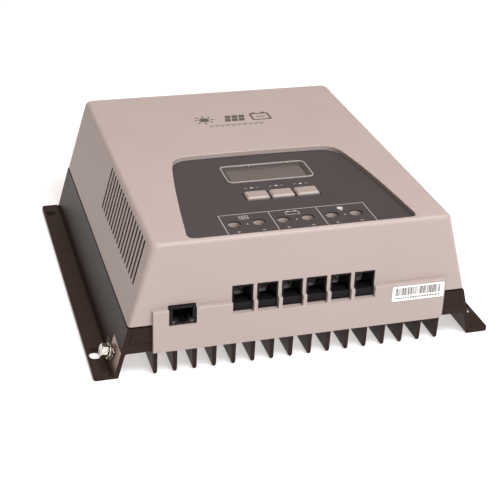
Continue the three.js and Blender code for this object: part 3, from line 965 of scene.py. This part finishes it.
def makeClampScrew(number):
    look = screwLook
    low, high = span(f"terminal_screw_{number}")
    x, y = middleOf(low, high)
    under = high.z - look["headHeight"]
    profile = [(look["shank"] - 0.9, low.z), (look["shank"] - 0.1, low.z + 0.6)]
    z = low.z + 0.8
    while z + look["thread"] < under:
        profile += [(look["shank"] - 0.02, z + 0.1), (look["shank"] - 0.5, z + 0.5)]
        z += look["thread"]
    profile += [(look["shank"] - 0.02, under - 0.05), (look["head"] - 0.15, under),
                (look["head"], under + 0.2), (look["head"], high.z - 0.5),
                (look["head"] - 0.12, high.z - 0.18), (look["head"] - 0.45, high.z)]
    screw = lathe(f"clampScrew_{number}", profile, platedSteel, 32, shifted(x, y, 0))
    half = look["slot"] / 2
    slotLoop = rectAround(x, y, 5, half, 0)
    combine(screw, [prismZ("tool", slotLoop, high.z - look["slotDepth"], high.z + 1, platedSteel)])
    smoothSkin(screw, 30)
    present(screw, f"clamp_screw_{number}", [f"terminal_screw_{number}"])


for number in range(1, 7):
    makeClampScrew(number)
    dress(f"terminal_cage_{number}", cageZinc, 0.2)
    dress(f"terminal_contact_{number}", tinnedCopper, 0.25)
dress("terminal_block", blackPlastic, 0.25)

socketLook = {
    "pins": 8, "pinPitch": 1.02, "pinWidth": 0.45, "wire": 0.25, "depth": 14.3,
    "cavity": [(5.95, 44.1), (5.95, 37.3), (3.1, 37.3), (3.1, 35.2), (1.6, 35.2), (1.6, 34.7)],
    "pinTop": 44.0, "pinFoot": 40.3, "pinFront": 2.2, "pinBend": 3.0, "pinBack": 11.5,
    "lampX": 5.5, "lamp": (-0.8, 0.8, 34.8, 35.9),
}


def makeSocket():
    look = socketLook
    low, high = span("network_socket")
    x = middleOf(low, high)[0]
    face = low.y
    bottom = hoodDims["jack"][2] + 0.4
    bodyLoop = roundedRect(low.x, high.x, bottom, high.z, 0.4, 30)
    body = prismY("socketBody", bodyLoop, face, high.y, blackPlastic)
    cavity = [(x + dx, z) for dx, z in look["cavity"]]
    cavity += [(x - dx, z) for dx, z in reversed(look["cavity"])]
    combine(body, [prismY("tool", cavity, face - 2, face + look["depth"], blackPlastic)])
    smoothSkin(body, 30, 0.2, 2)
    present(body, "case", ["network_socket"])
    front, bend, back = (face + look[point] for point in ("pinFront", "pinBend", "pinBack"))
    top, foot, wire = look["pinTop"], look["pinFoot"], look["wire"]
    profile = [(front, top), (bend, top), (back, foot), (back, foot - wire), (bend, top - wire * 1.2),
               (front, top - wire)]
    half = look["pinWidth"] / 2
    pins = []
    for i in range(look["pins"]):
        pinX = x + (i - (look["pins"] - 1) / 2) * look["pinPitch"]
        pins.append(prismX("socketPins", profile, pinX - half, pinX + half, goldContact))
    pins = merged(pins)
    smoothSkin(pins, 30)
    present(pins, "case")
    lamps = []
    left, right, foot, top = look["lamp"]
    for middle in (x - look["lampX"], x + look["lampX"]):
        loop = roundedRect(middle + left, middle + right, foot, top, 0.2, 30)
        lamps.append(prismY("socketLamps", loop, face - 0.05, face + 0.6, lampResin))
    lamps = merged(lamps)
    smoothSkin(lamps, 30)
    present(lamps, "case")


makeSocket()
print("terminals and socket made")


# printing

def strip(start, end, width, z, thick=0.04):
    start, end = Vector(start), Vector(end)
    across = (end - start).orthogonal().normalized() * width / 2
    return ([start - across, end - across, end + across, start + across], z, thick)


def printed(name, shapes, material):
    bm = bmesh.new()
    for loop, z, thick in shapes:
        addRings(bm, [lifted(loop, z), lifted(loop, z + thick)])
    return newPiece(name, bm, material)


def frameOf(x, y, halfX, halfY, width, z):
    corners = rectAround(x, y, halfX, halfY, 0)
    return [strip(corners[i], corners[(i + 1) % 4], width, z) for i in range(4)]


panelPrint = {"line": 0.35, "top": -79.8, "front": -104.1, "columns": (-44.4, -13.5, 16.8, 47.5),
              "markWidth": 0.32, "iconY": -84.6, "arrow": (-93.6, -92.4), "signY": -102.2}


def makePanelPrint():
    look = panelPrint
    z = faceLevel + 0.01
    columns = look["columns"]
    marks = [strip((x, look["front"]), (x, look["top"]), look["line"], z) for x in columns]
    marks.append(strip((columns[0] - 0.2, look["top"]), (columns[-1] + 0.2, look["top"]), look["line"], z))
    middles = [(poleXs[2 * i] + poleXs[2 * i + 1]) / 2 for i in range(3)]
    width = look["markWidth"]
    # a solar panel
    x, y = middles[0], look["iconY"]
    marks += frameOf(x, y, 2.7, 2.0, width, z)
    marks += [strip((x + dx, y - 2), (x + dx, y + 2), width * 0.8, z) for dx in (-0.9, 0.9)]
    marks += [strip((x - 2.7, y), (x + 2.7, y), width * 0.8, z)]
    # a battery
    x = middles[1]
    marks += frameOf(x, y, 4.2, 1.8, width, z)
    marks += [strip((x + dx - 0.8, y + 2.3), (x + dx + 0.8, y + 2.3), 0.7, z) for dx in (-2.3, 2.3)]
    # a lamp
    x = middles[2]
    marks.append((circle(1.9, 24, x, y + 0.3), z, 0.04))
    marks += [strip((x - 0.9, y - 2.0 - i * 0.7), (x + 0.9, y - 2.0 - i * 0.7), 0.4, z) for i in range(2)]
    # a small arrow between each two wells, plus on the left and minus on the right
    base, tip = look["arrow"]
    y = look["signY"]
    for x, plus, minus in zip(middles, poleXs[::2], poleXs[1::2]):
        marks.append(([(x - 0.6, base), (x + 0.6, base), (x, tip)], z, 0.04))
        marks.append(strip((plus - 1.0, y), (plus + 1.0, y), width * 1.2, z))
        marks.append(strip((plus, y - 1.0), (plus, y + 1.0), width * 1.2, z))
        marks.append(strip((minus - 1.2, y - 0.1), (minus + 1.2, y - 0.1), width * 1.2, z))
    present(printed("panelPrint", marks, lightInk), "case")


keyPrintY = -45.6


def makeKeyPrint():
    z = faceLevel + 0.01
    y = keyPrintY
    marks = []
    xs = [middleOf(low, high)[0] for low, high in keyBoxes]
    for x, up in ((xs[0], 1), (xs[1], -1)):
        marks.append(([(x - 1.5 * up, y - 0.7 * up), (x + 1.5 * up, y - 0.7 * up), (x, y + 0.9 * up)],
                      z, 0.04))
    marks.append((circle(0.9, 20, xs[2], y), z, 0.04))
    for x in xs:
        marks += [strip((x + side * 2.8, y), (x + side * 4.8, y), 0.3, z) for side in (-1, 1)]
    present(printed("keyPrint", marks, lightInk), "case")


roofMark = {"left": -24.0, "right": 31.5, "y": 62.0, "sun": 3.6, "rays": 8, "cell": (6.4, 5.4)}


def makeRoofMark():
    z = roofZ + 0.005
    look = roofMark
    y = look["y"]
    sunX = look["left"] + 7
    marks = [(circle(look["sun"], 36, sunX, y), z, 0.03)]
    centre = Vector((sunX, y))
    for along in circle(1, look["rays"]):
        marks.append(strip(centre + along * 4.8, centre + along * 7.2, 1.3, z, 0.03))
    panelX = (look["left"] + look["right"]) / 2 + 0.6
    for column in range(3):
        for row in range(2):
            x = panelX - 7.4 + column * 5.0 + row * 1.2
            base = y - 5.6 + row * 5.8
            loop = [(x, base), (x + 4.2, base), (x + 5.2, base + 5.0), (x + 1.0, base + 5.0)]
            marks.append((loop, z, 0.03))
    cellX = look["right"] - 7.4
    marks += frameOf(cellX, y, *look["cell"], 1.5, z)
    marks += [strip((cellX + dx - 1.4, y + 7.0), (cellX + dx + 1.4, y + 7.0), 1.6, z, 0.03)
              for dx in (-3.6, 3.6)]
    marks.append(strip((cellX - 3.2, y), (cellX + 3.2, y), 1.3, z, 0.03))
    present(printed("roofMark", marks, darkInk), "case")
    left, right = look["left"] + 8, look["right"] - 8
    rule = [strip((left, y - 11.2), (right, y - 11.2), 0.7, z, 0.03)]
    rule += [strip((left + i * 4, y - 13.0), (left + 2 + i * 4, y - 13.0), 0.7, z, 0.03) for i in range(10)]
    present(printed("roofRule", rule, darkInk), "case")


def makeLabel():
    low, high = span("barcode_label")
    loop = roundedRect(low.x, high.x, low.z, high.z, 0.5, 30)
    paper = prismY("labelPaper", loop, low.y + 0.03, high.y, paperLabel)
    smoothSkin(paper, 30)
    present(paper, "case", ["barcode_label"])
    draw = random.Random(7)
    bm = bmesh.new()

    def row(start, end, foot, top, widths, gaps):
        # upright bars of mixed widths from start to end
        x = start
        while x < end:
            width = draw.choice(widths)
            loop = roundedRect(x, x + width, foot, top, 0)
            addRings(bm, [[(a, low.y + depth, b) for a, b in loop] for depth in (0.04, 0.01)])
            x += width + (draw.choice(gaps) if len(gaps) > 1 else gaps[0])
    row(low.x + 2.2, high.x - 2.6, low.z + 3.9, high.z - 1.2, (0.22, 0.22, 0.44, 0.66), (0.26, 0.26, 0.5))
    row(low.x + 2.4, high.x - 3.2, low.z + 1.5, low.z + 2.6, (0.7, 0.9, 1.1), (0.7,))
    present(newPiece("labelBars", bm, barInk), "case")


makePanelPrint()
makeKeyPrint()
makeRoofMark()
makeLabel()
print("printing made")


# earth bolt and mark

earthLook = {
    "corner": 4.6, "head": (4.0, 7.7), "shank": 2.4, "shankEnd": -6, "pitch": 0.8,
    "teeth": 10, "perTooth": 6, "toothed": (2.8, 4.95), "toothHalf": 0.3, "twist": 1.1,
    "markY": -85.9, "markZ": 8.3, "mark": 2.8, "markLine": 0.45,
}


def makeEarthBolt():
    look = earthLook
    wall = onLeftWall(heatsinkDims["boltY"], heatsinkDims["boltZ"])
    bottom, top = look["head"]
    corner = look["corner"]
    hexagon = circle(corner, 6, start=math.pi / 6)
    head = loft("earthBolt", [lifted(hexagon, bottom), lifted(hexagon, top)], platedSteel)
    outline = [(corner * 0.9, bottom - 1), (corner * 0.9 + 0.2, bottom), (corner * 1.04, bottom + 0.5),
               (corner * 1.04, top - 0.8), (corner * 0.84, top), (corner * 0.84, top + 1)]
    combine(head, [lathe("tool", outline, platedSteel, 48)], "INTERSECT")
    shank = look["shank"]
    profile = [(shank - 0.5, look["shankEnd"])]
    z = look["shankEnd"] + 0.4
    while z < bottom - 0.6:
        profile += [(shank, z + 0.1), (shank - 0.4, z + 0.5)]
        z += look["pitch"]
    profile += [(shank, bottom - 0.1), (shank, bottom + 1)]
    combine(head, [lathe("tool", profile, platedSteel, 28)], "UNION")
    dish = lathe("tool", [(2.1, top - 0.35), (2.9, top + 0.1), (2.9, top + 1)], platedSteel, 32)
    combine(head, [dish])
    head.data.transform(wall)
    smoothSkin(head, 28, 0.12, 2)
    present(head, "case", ["earth_bolt"])


def toothedRings(low, high):
    # a lock washer whose outer teeth are twisted out of its plane
    look = earthLook
    perTooth, half = look["perTooth"], look["toothHalf"]
    inner, outer = look["toothed"]
    middle = (low + high) / 2
    rings = []
    for i, along in enumerate(circle(1, look["teeth"] * perTooth)):
        phase = (i % perTooth) / perTooth
        reach = outer if 0.16 < phase < 0.84 else outer - 1.3
        twist = (phase - 0.5) * look["twist"]
        rings.append([(*along * inner, middle - half), (*along * reach, middle - half + twist),
                      (*along * reach, middle + half + twist), (*along * inner, middle + half)])
    return rings


def flatRings(low, high):
    profile = [(2.75, low), (4.9, low), (5.0, low + 0.12), (5.0, high - 0.12), (4.9, high), (2.75, high)]
    return [lifted(circle(radius, 40), z) for radius, z in profile]


def makeWasher(name, rings, replaced):
    washer = loft(name, rings, platedSteel, closed=True)
    washer.data.transform(onLeftWall(heatsinkDims["boltY"], heatsinkDims["boltZ"]))
    smoothSkin(washer, 30)
    present(washer, "case", [replaced])


def makeEarthMark():
    look = earthLook
    outer, inner = circle(look["mark"], 40), circle(look["mark"] - look["markLine"], 40)
    thick = 0.05
    marks = []
    for i in range(40):
        j = (i + 1) % 40
        marks.append(([outer[i], outer[j], inner[j], inner[i]], 0, thick))
    # the frame's own X points up the wall: a stem, then three bars that get shorter
    marks.append(strip((1.9, 0), (0.1, 0), 0.36, 0, thick))
    for x, half in ((0.1, 1.5), (-0.7, 0.95), (-1.5, 0.45)):
        marks.append(strip((x, -half), (x, half), 0.36, 0, thick))
    mark = printed("earthMark", marks, markInk)
    mark.data.transform(onLeftWall(look["markY"], look["markZ"]))
    present(mark, "case")


makeEarthBolt()
makeWasher("earthToothedWasher", toothedRings(0.5, 1.9), "earth_lock_washer")
makeWasher("earthFlatWasher", flatRings(2.3, 3.3), "earth_flat_washer")
makeEarthMark()
print("earth bolt made")


# what is inside, and the screws underneath

insideFinishes = {
    "main_board": (greenBoard, 0.2), "ribbon_cable": (ribbonGrey, 0.2),
    "choke_left": (ferriteCore, 0.5), "choke_right": (ferriteCore, 0.5), "fuse": (fuseOrange, 0.4),
    "clamp_bar": (platedSteel, 0.4),
}
for number in range(1, 5):
    insideFinishes[f"board_pillar_{number}"] = (platedSteel, 0.2)
    insideFinishes[f"power_transistor_{number}"] = (blackPlastic, 0.3)
    insideFinishes[f"cover_screw_{number}"] = (platedSteel, 0.3)
for number in range(1, 4):
    insideFinishes[f"capacitor_{number}"] = (sleeveBlue, 0.8)
for nodeName, (material, softness) in insideFinishes.items():
    dress(nodeName, material, softness)
print("inside pieces dressed")
